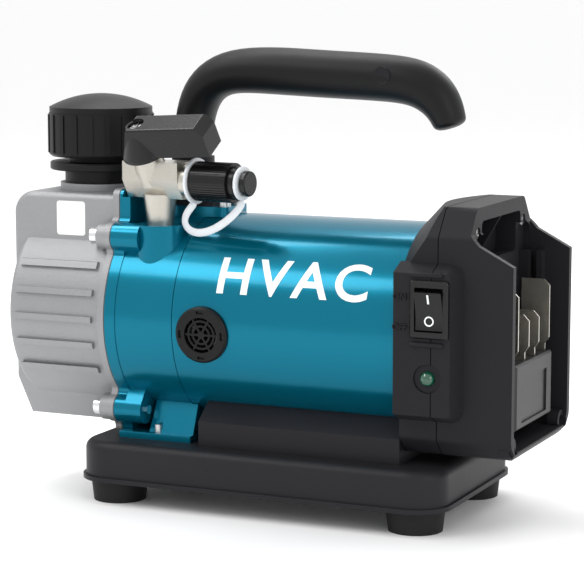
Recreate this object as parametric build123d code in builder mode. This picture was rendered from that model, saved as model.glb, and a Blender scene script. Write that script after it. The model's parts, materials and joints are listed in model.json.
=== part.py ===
from build123d import *
from math import cos, radians, sin
import os

os.makedirs("parts", exist_ok=True)

# Driving dimensions, in millimetres. +X points to the battery end, -Y to the switch side, Z is up from
# the floor, and the origin is under the middle of the whole pump.
axis_z = 96.6            # common centre line of motor and pump
tube_radius = 54
tube_wall = 3
seam_x = -38.4           # pump bracket meets motor tube
cover_x = 85.4           # front of the rear cover
parting_x = 105          # rear cover meets battery housing
end_x = 144              # outermost faces, tank at -X and battery housing at +X
joint_x = -77.6          # pump bracket meets tank gasket
gasket_thickness = 0.6
running_gap = 0.05       # radial clearance of turning fits

foot_height = 12
foot_pitch_x = 168.3
foot_pitch_y = 84
pan_centre_x = 8.3
pan_length = 203.7
pan_width = 119.4
pan_top = 33
pan_wall = 2.4

tank_half_width = 34.5
tank_top = 161
tank_bottom = 36.8
tank_wall = 4
barrel_radius = 52.4
exhaust_x = -108.2

shaft_radius = 5
pump_rotor_radius = 17
pump_offset = 3          # cylinder bore centre below the shaft
pump_back_x = -82.6
pump_front_x = -118

housing_half_width = 47.5
panel_half_width = 56.5
housing_bottom = 38.5
housing_wall = 2.6
head_top = 162.5
slot_x = 119             # back plate of the battery slot

switch_x = 104.5
switch_z = 114
lamp_x = 103.3
lamp_z = 79.7

fitting_x = -56          # inlet leg
fitting_y = -31.1
fitting_z = 170
fitting_yaw = 7          # flare port swung towards the switch side
stem_lean = 30           # valve stem leans from vertical towards the switch side
ball_s = -3.4            # ball centre, along the flare axis from the leg
body_s0 = -18.7          # blind end of the valve body


def end_view(x):
    """Plane across the pump at x, looking from +X: local x = Y, local y = Z measured from the floor."""
    return Plane(origin=(x, 0, 0), x_dir=(0, 1, 0), z_dir=(1, 0, 0))


def axis_plane(x):
    """Plane across the pump at x, centred on the motor axis."""
    return Plane(origin=(x, 0, axis_z), x_dir=(0, 1, 0), z_dir=(1, 0, 0))


def pan_plane(height):
    return Plane(origin=(pan_centre_x, 0, height))


# Directions of the inlet fitting: flare axis, the horizontal normal to it, and the valve stem.
flare_dir = Vector(cos(radians(fitting_yaw)), -sin(radians(fitting_yaw)), 0)
front_dir = Vector(-sin(radians(fitting_yaw)), -cos(radians(fitting_yaw)), 0)
stem_dir = front_dir * sin(radians(stem_lean)) + Vector(0, 0, cos(radians(stem_lean)))
fitting_origin = Vector(fitting_x, fitting_y, fitting_z)
ball_centre = fitting_origin + flare_dir * ball_s


def flare_plane(distance):
    """Plane across the flare axis, at a distance from the inlet leg."""
    return Plane(origin=fitting_origin + flare_dir * distance, x_dir=front_dir, z_dir=flare_dir)


def stem_plane(height):
    """Plane across the valve stem, at a height above the ball centre."""
    return Plane(origin=ball_centre + stem_dir * height, x_dir=flare_dir, z_dir=stem_dir)


def leg_plane(height):
    return Plane(origin=(fitting_x, fitting_y, height))


# ---------------------------------------------------------------- base

base_bolt_spots = [(-55, -37), (-55, 37), (-15, -43), (-15, 43), (72, -43), (72, 43)]


def base_bolt_sketch(radius):
    """Sketch of the bolts that hold bracket and riser down on the pan."""
    with BuildSketch(mode=Mode.PRIVATE) as bolts:
        with Locations(*base_bolt_spots):
            Circle(radius)
    return bolts.sketch


with BuildPart() as base_pan:
    with BuildSketch(pan_plane(foot_height)):
        RectangleRounded(pan_length, pan_width, 17.5)
    extrude(amount=pan_top - foot_height)
    fillet(base_pan.faces().sort_by(Axis.Z)[-1].edges(), 5)
    with BuildSketch(pan_plane(foot_height)):
        RectangleRounded(pan_length + 3, pan_width + 3, 19)
    extrude(amount=2.4)
    with BuildSketch(pan_plane(foot_height)):
        RectangleRounded(pan_length - 2 * pan_wall, pan_width - 2 * pan_wall, 15)
    extrude(amount=pan_top - pan_wall - foot_height, mode=Mode.SUBTRACT)
    with BuildSketch(pan_plane(foot_height)):
        with GridLocations(foot_pitch_x, foot_pitch_y, 2, 2):
            Circle(10)
    extrude(amount=pan_top - pan_wall - foot_height)
    with BuildSketch(pan_plane(foot_height)):
        with GridLocations(foot_pitch_x, foot_pitch_y, 2, 2):
            Circle(2)
    extrude(amount=14, mode=Mode.SUBTRACT)
    with BuildSketch(Plane.XY.offset(pan_top - pan_wall)):
        add(base_bolt_sketch(2.1))
    extrude(amount=pan_wall, mode=Mode.SUBTRACT)
base_pan.part.label = "base_pan"
export_step(base_pan.part, "parts/base_pan.step")

with BuildPart() as rubber_feet:
    with BuildSketch(pan_plane(0)):
        with GridLocations(foot_pitch_x, foot_pitch_y, 2, 2):
            Circle(13.8)
    extrude(amount=foot_height, taper=-6.5)
    with BuildSketch(pan_plane(0)):
        with GridLocations(foot_pitch_x, foot_pitch_y, 2, 2):
            Circle(5)
    extrude(amount=6, mode=Mode.SUBTRACT)
    with BuildSketch(pan_plane(0)):
        with GridLocations(foot_pitch_x, foot_pitch_y, 2, 2):
            Circle(2.2)
    extrude(amount=foot_height, mode=Mode.SUBTRACT)
rubber_feet.part.label = "rubber_feet"
export_step(rubber_feet.part, "parts/rubber_feet.step")

with BuildPart() as foot_screws:
    with BuildSketch(pan_plane(3.2)):
        with GridLocations(foot_pitch_x, foot_pitch_y, 2, 2):
            Circle(4)
    extrude(amount=2.8)
    with BuildSketch(pan_plane(6)):
        with GridLocations(foot_pitch_x, foot_pitch_y, 2, 2):
            Circle(1.9)
    extrude(amount=18)
foot_screws.part.label = "foot_screws"
export_step(foot_screws.part, "parts/foot_screws.step")

with BuildPart() as base_bolts:
    with BuildSketch(Plane.XY.offset(pan_top - pan_wall - 3)):
        add(base_bolt_sketch(3.8))
    extrude(amount=3)
    with BuildSketch(Plane.XY.offset(pan_top - pan_wall)):
        add(base_bolt_sketch(2))
    extrude(amount=10)
base_bolts.part.label = "base_bolts"
export_step(base_bolts.part, "parts/base_bolts.step")

riser_x0 = -27
riser_x1 = 85
with BuildPart() as motor_riser:
    with BuildSketch(end_view(riser_x0)):
        with BuildLine():
            Polyline(
                (-46, pan_top),
                (-46, 46),
                (-34, 55.5),
                (34, 55.5),
                (46, 46),
                (46, pan_top),
                close=True,
            )
        make_face()
    extrude(amount=riser_x1 - riser_x0)
    with BuildSketch(axis_plane(riser_x0)):
        Circle(tube_radius + 0.1)
    extrude(amount=riser_x1 - riser_x0, mode=Mode.SUBTRACT)
    with BuildSketch(Plane(origin=((riser_x0 + riser_x1) / 2, 0, pan_top))):
        Rectangle(riser_x1 - riser_x0 - 12, 78)
    extrude(amount=5, mode=Mode.SUBTRACT)
    with BuildSketch(Plane.XY.offset(pan_top)):
        add(base_bolt_sketch(2.1))
    extrude(amount=9, mode=Mode.SUBTRACT)
motor_riser.part.label = "motor_riser"
export_step(motor_riser.part, "parts/motor_riser.step")

# ---------------------------------------------------------------- motor

vent_x = -20.6
vent_tilt = -3.6
vent_out = Vector(0, -cos(radians(vent_tilt)), sin(radians(vent_tilt)))
tube_end_x = cover_x + 6
bore_radius = tube_radius - tube_wall


def vent_plane(distance):
    """Plane across the vent plug's axis, at a distance from the motor axis."""
    return Plane(origin=Vector(vent_x, 0, axis_z) + vent_out * distance, x_dir=(1, 0, 0), z_dir=vent_out)


with BuildPart() as motor_tube:
    with BuildSketch(axis_plane(seam_x + 0.4)):
        Circle(tube_radius)
        Circle(bore_radius, mode=Mode.SUBTRACT)
    extrude(amount=tube_end_x - seam_x - 0.4)
    with BuildSketch(vent_plane(40)):
        Circle(11)
    extrude(amount=20, mode=Mode.SUBTRACT)
motor_tube.part.label = "motor_tube"
export_step(motor_tube.part, "parts/motor_tube.step")

vent_face = 56.2
with BuildPart() as vent_plug:
    with BuildSketch(vent_plane(48)):
        Circle(14.6)
    extrude(amount=vent_face - 48)
    chamfer(vent_plug.faces().sort_by(Axis((0, 0, 0), vent_out))[-1].edges(), 1)
    with BuildSketch(axis_plane(vent_x - 20)):
        Circle(tube_radius + 0.05)
    extrude(amount=40, mode=Mode.SUBTRACT)
    with BuildSketch(vent_plane(bore_radius + 0.2)):
        Circle(10.9)
    extrude(amount=vent_face - bore_radius - 1.7)
    with BuildSketch(vent_plane(44)):
        Circle(9.2)
    extrude(amount=14, mode=Mode.SUBTRACT)
    with BuildSketch(vent_plane(vent_face - 2.6)):
        Circle(2)
        with PolarLocations(5.8, 6):
            Rectangle(8.4, 1.1)
        for ring_radius in (4.6, 7.2):
            with BuildSketch(mode=Mode.PRIVATE) as ring:
                Circle(ring_radius + 0.55)
                Circle(ring_radius - 0.55, mode=Mode.SUBTRACT)
            add(ring.sketch)
    extrude(amount=1.8)
    with BuildSketch(vent_plane(vent_face - 1)):
        with PolarLocations(11.8, 4):
            Rectangle(1.5, 4)
    extrude(amount=1, mode=Mode.SUBTRACT)
vent_plug.part.label = "vent_plug"
export_step(vent_plug.part, "parts/vent_plug.step")

stator_x0 = -16
stator_x1 = 40
slot_count = 9
with BuildPart() as stator_core:
    with BuildSketch(axis_plane(stator_x0)):
        Circle(bore_radius - 0.05)
        Circle(bore_radius - 6, mode=Mode.SUBTRACT)
        with PolarLocations(38, slot_count):
            Rectangle(15, 8)
        with PolarLocations(31.6, slot_count):
            Rectangle(2.4, 17)
        Circle(30.6, mode=Mode.SUBTRACT)
    extrude(amount=stator_x1 - stator_x0)
stator_core.part.label = "stator_core"
export_step(stator_core.part, "parts/stator_core.step")

with BuildPart() as stator_windings:
    with BuildSketch(axis_plane(stator_x0 - 5)):
        with PolarLocations(38.7, slot_count):
            Rectangle(10.5, 15)
            Rectangle(10.7, 8.1, mode=Mode.SUBTRACT)
    extrude(amount=stator_x1 - stator_x0 + 10)
    with BuildSketch(axis_plane(stator_x0 - 5)):
        with PolarLocations(38.7, slot_count):
            Rectangle(10.5, 15)
    extrude(amount=4.8)
    with BuildSketch(axis_plane(stator_x1 + 0.2)):
        with PolarLocations(38.7, slot_count):
            Rectangle(10.5, 15)
    extrude(amount=4.8)
stator_windings.part.label = "stator_windings"
export_step(stator_windings.part, "parts/stator_windings.step")

with BuildPart() as rotor_core:
    with BuildSketch(axis_plane(stator_x0)):
        Circle(26.5)
        Circle(shaft_radius, mode=Mode.SUBTRACT)
        with PolarLocations(16, 6):
            Circle(5, mode=Mode.SUBTRACT)
    extrude(amount=stator_x1 - stator_x0)
rotor_core.part.label = "rotor_core"
export_step(rotor_core.part, "parts/rotor_core.step")

with BuildPart() as rotor_magnets:
    with BuildSketch(axis_plane(stator_x0 + 1)):
        Circle(30)
        Circle(26.5, mode=Mode.SUBTRACT)
        with PolarLocations(28, 6):
            Rectangle(8, 2, mode=Mode.SUBTRACT)
    extrude(amount=stator_x1 - stator_x0 - 2)
rotor_magnets.part.label = "rotor_magnets"
export_step(rotor_magnets.part, "parts/rotor_magnets.step")

shaft_x0 = -64
shaft_x1 = 82
with BuildPart() as motor_shaft:
    with BuildSketch(axis_plane(shaft_x0)):
        Circle(shaft_radius)
    extrude(amount=shaft_x1 - shaft_x0)
    chamfer(motor_shaft.edges().filter_by(GeomType.CIRCLE), 0.6)
motor_shaft.part.label = "motor_shaft"
export_step(motor_shaft.part, "parts/motor_shaft.step")

bearing_radius = 13
bearing_width = 8
front_bearing_x = -36
rear_bearing_x = 52
with BuildPart() as front_bearing:
    with BuildSketch(axis_plane(front_bearing_x)):
        Circle(bearing_radius)
        Circle(shaft_radius + running_gap, mode=Mode.SUBTRACT)
    extrude(amount=bearing_width)
front_bearing.part.label = "front_bearing"
export_step(front_bearing.part, "parts/front_bearing.step")

with BuildPart() as rear_bearing:
    with BuildSketch(axis_plane(rear_bearing_x)):
        Circle(bearing_radius)
        Circle(shaft_radius + running_gap, mode=Mode.SUBTRACT)
    extrude(amount=bearing_width)
rear_bearing.part.label = "rear_bearing"
export_step(rear_bearing.part, "parts/rear_bearing.step")

with BuildPart() as front_end_shield:
    with BuildSketch(axis_plane(front_bearing_x)):
        Circle(46.95)
        Circle(bearing_radius, mode=Mode.SUBTRACT)
        with PolarLocations(29, 6):
            Circle(8, mode=Mode.SUBTRACT)
    extrude(amount=bearing_width)
front_end_shield.part.label = "front_end_shield"
export_step(front_end_shield.part, "parts/front_end_shield.step")

with BuildPart() as rear_end_shield:
    with BuildSketch(axis_plane(rear_bearing_x)):
        Circle(bore_radius - 0.05)
        Circle(bearing_radius, mode=Mode.SUBTRACT)
        with PolarLocations(32, 6):
            Circle(10, mode=Mode.SUBTRACT)
    extrude(amount=bearing_width)
rear_end_shield.part.label = "rear_end_shield"
export_step(rear_end_shield.part, "parts/rear_end_shield.step")

fan_x = 66
fan_blades = 9
with BuildPart() as cooling_fan:
    with BuildSketch(axis_plane(fan_x)):
        Circle(12)
        Circle(shaft_radius, mode=Mode.SUBTRACT)
    extrude(amount=14)
    with BuildSketch(axis_plane(fan_x)):
        Circle(44)
        Circle(11, mode=Mode.SUBTRACT)
    extrude(amount=2)
    with BuildSketch(axis_plane(fan_x + 2)):
        with PolarLocations(28, fan_blades):
            Rectangle(30, 1.6, rotation=18)
    extrude(amount=11)
cooling_fan.part.label = "cooling_fan"
export_step(cooling_fan.part, "parts/cooling_fan.step")

# ---------------------------------------------------------------- pump bracket

lobe_centres = [(-39.2, 139.5), (39.2, 139.5), (-37.4, 48), (37.4, 48)]
lobe_radius = 7.6
lobe_end_x = -61.8
flange_top = 164
flange_bottom = 33.8
bracket_plate_x = -71.5
bolt_radius = 2.5


def flange_outline():
    """Joint outline shared by bracket, gasket and tank: barrel, square neck and four bolt lobes."""
    with BuildSketch(mode=Mode.PRIVATE) as outline:
        with Locations((0, axis_z)):
            Circle(tube_radius + 0.4)
        with Locations((0, (flange_top + flange_bottom) / 2)):
            RectangleRounded(71, flange_top - flange_bottom, 4)
        with Locations(*lobe_centres):
            Circle(lobe_radius)
        offset(amount=3, kind=Kind.ARC)
        offset(amount=-3, kind=Kind.ARC)
    return outline.sketch


def bolt_holes():
    with BuildSketch(mode=Mode.PRIVATE) as holes:
        with Locations(*lobe_centres):
            Circle(bolt_radius)
    return holes.sketch


boss_top = 146.5
block_top = 154.5
with BuildPart() as pump_bracket:
    with BuildSketch(end_view(joint_x)):
        add(flange_outline())
    extrude(amount=bracket_plate_x - joint_x)
    with BuildSketch(axis_plane(bracket_plate_x)):
        Circle(tube_radius)
    extrude(amount=seam_x - bracket_plate_x)
    # bolt lobes, each tied to the barrel by a web
    with BuildSketch(end_view(bracket_plate_x)):
        for lobe_y, lobe_z in lobe_centres:
            with Locations((lobe_y, lobe_z)):
                Circle(lobe_radius)
            with BuildLine(mode=Mode.PRIVATE) as web:
                Line((lobe_y, lobe_z), (lobe_y * 0.6, axis_z + (lobe_z - axis_z) * 0.6))
            trace(web.line, line_width=2 * lobe_radius)
    extrude(amount=lobe_end_x - bracket_plate_x)
    # inlet boss, cast into the switch side of the barrel
    with BuildSketch(leg_plane(axis_z + 10)):
        Circle(13.6)
    extrude(amount=boss_top - axis_z - 10)
    # handle seat, which reaches over the motor tube
    with BuildSketch(Plane(origin=(-48.5, 0, 140))):
        RectangleRounded(45, 27, 3)
    extrude(amount=block_top - 140)
    # foot that stands on the pan
    with BuildSketch(Plane(origin=(-55, 0, pan_top))):
        Rectangle(42, 84)
    extrude(amount=3.5)
    with BuildSketch(Plane(origin=(-47, 0, pan_top))):
        Rectangle(26, 80)
    with BuildSketch(Plane(origin=(-47, 0, pan_top + 24))):
        Rectangle(24, 56)
    loft()
    # clearance over the motor tube, then the motor bell and its spigot
    with BuildSketch(axis_plane(seam_x)):
        Circle(tube_radius + 0.3)
    extrude(amount=20, mode=Mode.SUBTRACT)
    with BuildSketch(axis_plane(seam_x)):
        Circle(bore_radius - 0.05)
    extrude(amount=8)
    with BuildSketch(axis_plane(bracket_plate_x + 3)):
        Circle(47)
    extrude(amount=seam_x - bracket_plate_x + 6, mode=Mode.SUBTRACT)
    with BuildSketch(axis_plane(joint_x)):
        Circle(13)
    extrude(amount=12, mode=Mode.SUBTRACT)
    with BuildSketch(end_view(joint_x)):
        add(bolt_holes())
    extrude(amount=20, mode=Mode.SUBTRACT)
    # room for the valve body beside the flange corner
    with BuildSketch(flare_plane(body_s0 - 0.6)):
        Rectangle(20, 19.6)
    extrude(amount=12, mode=Mode.SUBTRACT)
    # inlet port
    with BuildSketch(leg_plane(boss_top - 12)):
        Circle(6.2)
    extrude(amount=12, mode=Mode.SUBTRACT)
    with BuildSketch(Plane.XY.offset(pan_top)):
        add(base_bolt_sketch(2.1))
    extrude(amount=9, mode=Mode.SUBTRACT)
pump_bracket.part.label = "pump_bracket"
export_step(pump_bracket.part, "parts/pump_bracket.step")

# ---------------------------------------------------------------- oil tank and pump module

tank_back_x = joint_x - gasket_thickness
tank_flange_x = -81.8


with BuildPart() as tank_gasket:
    with BuildSketch(end_view(tank_back_x)):
        add(flange_outline())
        with Locations((0, axis_z)):
            Circle(47, mode=Mode.SUBTRACT)
        add(bolt_holes(), mode=Mode.SUBTRACT)
    extrude(amount=gasket_thickness)
tank_gasket.part.label = "tank_gasket"
export_step(tank_gasket.part, "parts/tank_gasket.step")

neck_radius = 22.4
neck_top = 164.5
glass_z = 84
drain_z = 50
rib_heights = (68.5, 82.5, 96.5, 110.5, 124.5)
barrel_x = -137           # outer end of the round barrel
rib_x0 = -132.5
rib_x1 = -86
with BuildPart() as oil_tank:
    # square tank body, narrowing to the sump
    with BuildSketch(end_view(-end_x)):
        with BuildLine():
            Polyline(
                (-tank_half_width, tank_top),
                (-tank_half_width, 64),
                (-17, tank_bottom),
                (17, tank_bottom),
                (tank_half_width, 64),
                (tank_half_width, tank_top),
                close=True,
            )
        make_face()
    extrude(amount=tank_flange_x + end_x)
    fillet(oil_tank.edges().filter_by(Axis.Y).group_by(Axis.X)[0].sort_by(Axis.Z)[-1], 12)
    fillet(oil_tank.edges().filter_by(Axis.X).group_by(Axis.Z)[-1], 4)
    # round barrel over the pump module
    with BuildSketch(axis_plane(barrel_x)):
        Circle(barrel_radius)
    extrude(amount=tank_flange_x - barrel_x)
    barrel_circles = oil_tank.edges().filter_by(GeomType.CIRCLE)
    barrel_rim = barrel_circles.filter_by_position(Axis.X, barrel_x - 0.1, barrel_x + 0.1)
    fillet(barrel_rim, 3)
    # cooling ribs on both sides of the barrel
    for rib_z in rib_heights:
        with BuildSketch(Plane.XY.offset(rib_z - 1.6)):
            with Locations(((rib_x0 + rib_x1) / 2, 0)):
                Rectangle(rib_x1 - rib_x0, 2 * (barrel_radius + 2))
        extrude(amount=3.2)
    with BuildSketch(axis_plane(-end_x)):
        Circle(70)
        Circle(barrel_radius + 1.8, mode=Mode.SUBTRACT)
        Rectangle(2 * tank_half_width, 140, mode=Mode.SUBTRACT)
    extrude(amount=tank_flange_x + end_x, mode=Mode.SUBTRACT)
    # flange and bolt lands
    with BuildSketch(end_view(tank_flange_x)):
        add(flange_outline())
    extrude(amount=tank_back_x - tank_flange_x)
    with BuildSketch(end_view(tank_flange_x)):
        with Locations(*lobe_centres):
            Circle(7)
    extrude(amount=-5)
    # exhaust neck
    with BuildSketch(Plane(origin=(exhaust_x, 0, tank_top - 6))):
        Circle(neck_radius)
    extrude(amount=neck_top - tank_top + 6)
    # oil space
    with BuildSketch(end_view(tank_wall - end_x)):
        with BuildLine():
            Polyline(
                (tank_wall - tank_half_width, tank_top - tank_wall),
                (tank_wall - tank_half_width, 66),
                (-15, tank_bottom + tank_wall),
                (15, tank_bottom + tank_wall),
                (tank_half_width - tank_wall, 66),
                (tank_half_width - tank_wall, tank_top - tank_wall),
                close=True,
            )
        make_face()
    extrude(amount=tank_back_x + end_x - tank_wall, mode=Mode.SUBTRACT)
    with BuildSketch(axis_plane(barrel_x + tank_wall)):
        Circle(barrel_radius - tank_wall)
    extrude(amount=tank_back_x - barrel_x - tank_wall, mode=Mode.SUBTRACT)
    with BuildSketch(Plane(origin=(exhaust_x, 0, tank_top - 8))):
        Circle(16.2)
    extrude(amount=20, mode=Mode.SUBTRACT)
    # bolt holes, sight glass seat and drain hole
    with BuildSketch(end_view(tank_flange_x - 6)):
        add(bolt_holes())
    extrude(amount=12, mode=Mode.SUBTRACT)
    with BuildSketch(end_view(-end_x)):
        with Locations((0, glass_z)):
            Circle(15)
    extrude(amount=2.4, mode=Mode.SUBTRACT)
    with BuildSketch(end_view(-end_x)):
        with Locations((0, glass_z)):
            Circle(10)
        with Locations((0, drain_z)):
            Circle(5.05)
    extrude(amount=6, mode=Mode.SUBTRACT)
    with BuildSketch(end_view(-end_x)):
        with Locations((0, drain_z)):
            Circle(9)
    extrude(amount=1.6, mode=Mode.SUBTRACT)
oil_tank.part.label = "oil_tank"
export_step(oil_tank.part, "parts/oil_tank.step")

with BuildPart() as tank_bolts:
    with BuildSketch(end_view(tank_flange_x - 5 - 5.2)):
        with Locations(*lobe_centres):
            Circle(4.4)
            RegularPolygon(2.2, 6, mode=Mode.SUBTRACT)
    extrude(amount=5.2)
    with BuildSketch(end_view(tank_flange_x - 8)):
        with Locations(*lobe_centres):
            Circle(bolt_radius - 0.05)
    extrude(amount=lobe_end_x + 1.4 - tank_flange_x + 8)
tank_bolts.part.label = "tank_bolts"
export_step(tank_bolts.part, "parts/tank_bolts.step")

with BuildPart() as sight_glass_ring:
    with BuildSketch(end_view(-end_x)):
        with Locations((0, glass_z)):
            Circle(14.9)
            Circle(10, mode=Mode.SUBTRACT)
    extrude(amount=2.3)
    chamfer(sight_glass_ring.faces().sort_by(Axis.X)[0].edges(), 0.6)
sight_glass_ring.part.label = "sight_glass_ring"
export_step(sight_glass_ring.part, "parts/sight_glass_ring.step")

with BuildPart() as sight_glass:
    with BuildSketch(end_view(-end_x + 0.8)):
        with Locations((0, glass_z)):
            Circle(9.9)
    extrude(amount=3.2)
    fillet(sight_glass.faces().sort_by(Axis.X)[0].edges(), 1)
sight_glass.part.label = "sight_glass"
export_step(sight_glass.part, "parts/sight_glass.step")

with BuildPart() as drain_seal:
    with BuildSketch(end_view(-end_x + 0.6)):
        with Locations((0, drain_z)):
            Circle(8)
            Circle(5.15, mode=Mode.SUBTRACT)
    extrude(amount=1)
drain_seal.part.label = "drain_seal"
export_step(drain_seal.part, "parts/drain_seal.step")

with BuildPart() as drain_plug:
    with BuildSketch(end_view(-end_x + 0.6)):
        with Locations((0, drain_z)):
            Circle(5)
    extrude(amount=6)
    with BuildSketch(end_view(-end_x)):
        with Locations((0, drain_z)):
            Circle(7.6)
    extrude(amount=0.6)
    with BuildSketch(end_view(-end_x)):
        with Locations((0, drain_z)):
            RegularPolygon(2.5, 6)
    extrude(amount=3.5, mode=Mode.SUBTRACT)
drain_plug.part.label = "drain_plug"
export_step(drain_plug.part, "parts/drain_plug.step")

cylinder_radius = 27


with BuildPart() as pump_end_plate:
    with BuildSketch(axis_plane(pump_front_x - 6)):
        Circle(cylinder_radius)
    extrude(amount=5.9)
pump_end_plate.part.label = "pump_end_plate"
export_step(pump_end_plate.part, "parts/pump_end_plate.step")

pump_middle_x = (pump_front_x + pump_back_x) / 2
valve_y = 12
valve_height = axis_z + 20
with BuildPart() as pump_cylinder:
    with BuildSketch(axis_plane(pump_front_x - 0.1)):
        Circle(cylinder_radius)
        with Locations((0, -pump_offset)):
            Circle(pump_rotor_radius + pump_offset + running_gap, mode=Mode.SUBTRACT)
    extrude(amount=pump_back_x - pump_front_x + 0.2)
    # flat for the reed valve, and the exhaust port under it
    with BuildSketch(Plane(origin=(pump_middle_x, valve_y, valve_height))):
        Rectangle(26, 12)
    extrude(amount=10, mode=Mode.SUBTRACT)
    with BuildSketch(Plane(origin=(pump_middle_x, valve_y, axis_z + 5))):
        Circle(3)
    extrude(amount=20, mode=Mode.SUBTRACT)
pump_cylinder.part.label = "pump_cylinder"
export_step(pump_cylinder.part, "parts/pump_cylinder.step")

with BuildPart() as exhaust_reed:
    with BuildSketch(Plane(origin=(pump_middle_x, valve_y, valve_height))):
        Rectangle(25, 8)
    extrude(amount=0.4)
exhaust_reed.part.label = "exhaust_reed"
export_step(exhaust_reed.part, "parts/exhaust_reed.step")

with BuildPart() as pump_back_plate:
    with BuildSketch(axis_plane(pump_back_x + 0.1)):
        Circle(cylinder_radius)
        Circle(6 + running_gap, mode=Mode.SUBTRACT)
    extrude(amount=joint_x - pump_back_x - 0.1)
pump_back_plate.part.label = "pump_back_plate"
export_step(pump_back_plate.part, "parts/pump_back_plate.step")

vane_width = 4
with BuildPart() as pump_rotor:
    with BuildSketch(axis_plane(pump_front_x)):
        Circle(pump_rotor_radius)
        with PolarLocations(10.5, 2, start_angle=90):
            Rectangle(14, vane_width, mode=Mode.SUBTRACT)
    extrude(amount=pump_back_x - pump_front_x)
    with BuildSketch(axis_plane(pump_back_x)):
        Circle(6)
    extrude(amount=14)
pump_rotor.part.label = "pump_rotor"
export_step(pump_rotor.part, "parts/pump_rotor.step")

with BuildPart() as rotor_vanes:
    with BuildSketch(axis_plane(pump_front_x)):
        with PolarLocations(10.4, 2, start_angle=90):
            Rectangle(12.4, vane_width - 0.04)
    extrude(amount=pump_back_x - pump_front_x)
rotor_vanes.part.label = "rotor_vanes"
export_step(rotor_vanes.part, "parts/rotor_vanes.step")

with BuildPart() as shaft_seal:
    with BuildSketch(axis_plane(joint_x)):
        Circle(13)
        Circle(6 + running_gap, mode=Mode.SUBTRACT)
    extrude(amount=5)
shaft_seal.part.label = "shaft_seal"
export_step(shaft_seal.part, "parts/shaft_seal.step")

coupling_x0 = -71
with BuildPart() as shaft_coupling:
    with BuildSketch(axis_plane(coupling_x0)):
        Circle(10)
    extrude(amount=18)
    with BuildSketch(axis_plane(coupling_x0)):
        Circle(6)
    extrude(amount=pump_back_x + 14 - coupling_x0, mode=Mode.SUBTRACT)
    with BuildSketch(axis_plane(shaft_x0)):
        Circle(shaft_radius)
    extrude(amount=20, mode=Mode.SUBTRACT)
shaft_coupling.part.label = "shaft_coupling"
export_step(shaft_coupling.part, "parts/shaft_coupling.step")

# ---------------------------------------------------------------- exhaust


def exhaust_plane(height):
    return Plane(origin=(exhaust_x, 0, height))


with BuildPart() as exhaust_neck:
    with BuildSketch(exhaust_plane(neck_top)):
        Circle(19.8)
    extrude(amount=7)
    with BuildSketch(exhaust_plane(171.5)):
        Circle(27.8)
    extrude(amount=4.2)
    chamfer(exhaust_neck.edges().group_by(SortBy.LENGTH)[-1], 0.6)
    with BuildSketch(exhaust_plane(175.7)):
        Circle(17.6)
    extrude(amount=16)
    with BuildSketch(exhaust_plane(neck_top - 10)):
        Circle(16.1)
    extrude(amount=10)
    with BuildSketch(exhaust_plane(neck_top - 10)):
        Circle(13.5)
    extrude(amount=40, mode=Mode.SUBTRACT)
exhaust_neck.part.label = "exhaust_neck"
export_step(exhaust_neck.part, "parts/exhaust_neck.step")

with BuildPart() as exhaust_filter:
    with BuildSketch(exhaust_plane(neck_top - 10)):
        Circle(13.4)
        Circle(9, mode=Mode.SUBTRACT)
    extrude(amount=34)
    with BuildSketch(exhaust_plane(neck_top - 10)):
        Circle(13.4)
    extrude(amount=3)
exhaust_filter.part.label = "exhaust_filter"
export_step(exhaust_filter.part, "parts/exhaust_filter.step")

cap_bottom = 178.7
cap_shoulder = 202
cap_crown = 212.3
cap_ribs = 20
crown_radius = 58.6
crown_dome = Pos(exhaust_x, 0, cap_crown - crown_radius) * Sphere(crown_radius)
with BuildPart() as exhaust_cap:
    with BuildSketch(exhaust_plane(cap_bottom)):
        Circle(27.9)
    extrude(amount=cap_crown - cap_bottom)
    add(crown_dome, mode=Mode.INTERSECT)
    with BuildSketch(exhaust_plane(cap_bottom)):
        Circle(28.3)
    extrude(amount=cap_shoulder - cap_bottom)
    chamfer(exhaust_cap.faces().sort_by(Axis.Z)[0].edges(), 1.3)
    with BuildSketch(exhaust_plane(cap_bottom + 2)):
        with PolarLocations(27.9, cap_ribs):
            Rectangle(2, 2.4)
    extrude(amount=cap_shoulder - cap_bottom - 2.8)
    with BuildSketch(exhaust_plane(cap_bottom)):
        Circle(25.4)
        Circle(21, mode=Mode.SUBTRACT)
    extrude(amount=20, mode=Mode.SUBTRACT)
    with BuildSketch(exhaust_plane(cap_bottom)):
        Circle(17.9)
    extrude(amount=20, mode=Mode.SUBTRACT)
    # outlet slots around the skirt
    with BuildSketch(exhaust_plane(cap_bottom)):
        with PolarLocations(24, 10):
            Rectangle(14, 3)
        Circle(17.8, mode=Mode.SUBTRACT)
        with BuildSketch(mode=Mode.PRIVATE) as skirt:
            Circle(40)
            Circle(25.3, mode=Mode.SUBTRACT)
        add(skirt.sketch, mode=Mode.SUBTRACT)
    extrude(amount=2.5, mode=Mode.SUBTRACT)
exhaust_cap.part.label = "exhaust_cap"
export_step(exhaust_cap.part, "parts/exhaust_cap.step")

with BuildPart() as exhaust_cap_seal:
    with BuildSketch(exhaust_plane(191.8)):
        Circle(17.5)
        Circle(14, mode=Mode.SUBTRACT)
    extrude(amount=1.6)
exhaust_cap_seal.part.label = "exhaust_cap_seal"
export_step(exhaust_cap_seal.part, "parts/exhaust_cap_seal.step")

# ---------------------------------------------------------------- handle

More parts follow.
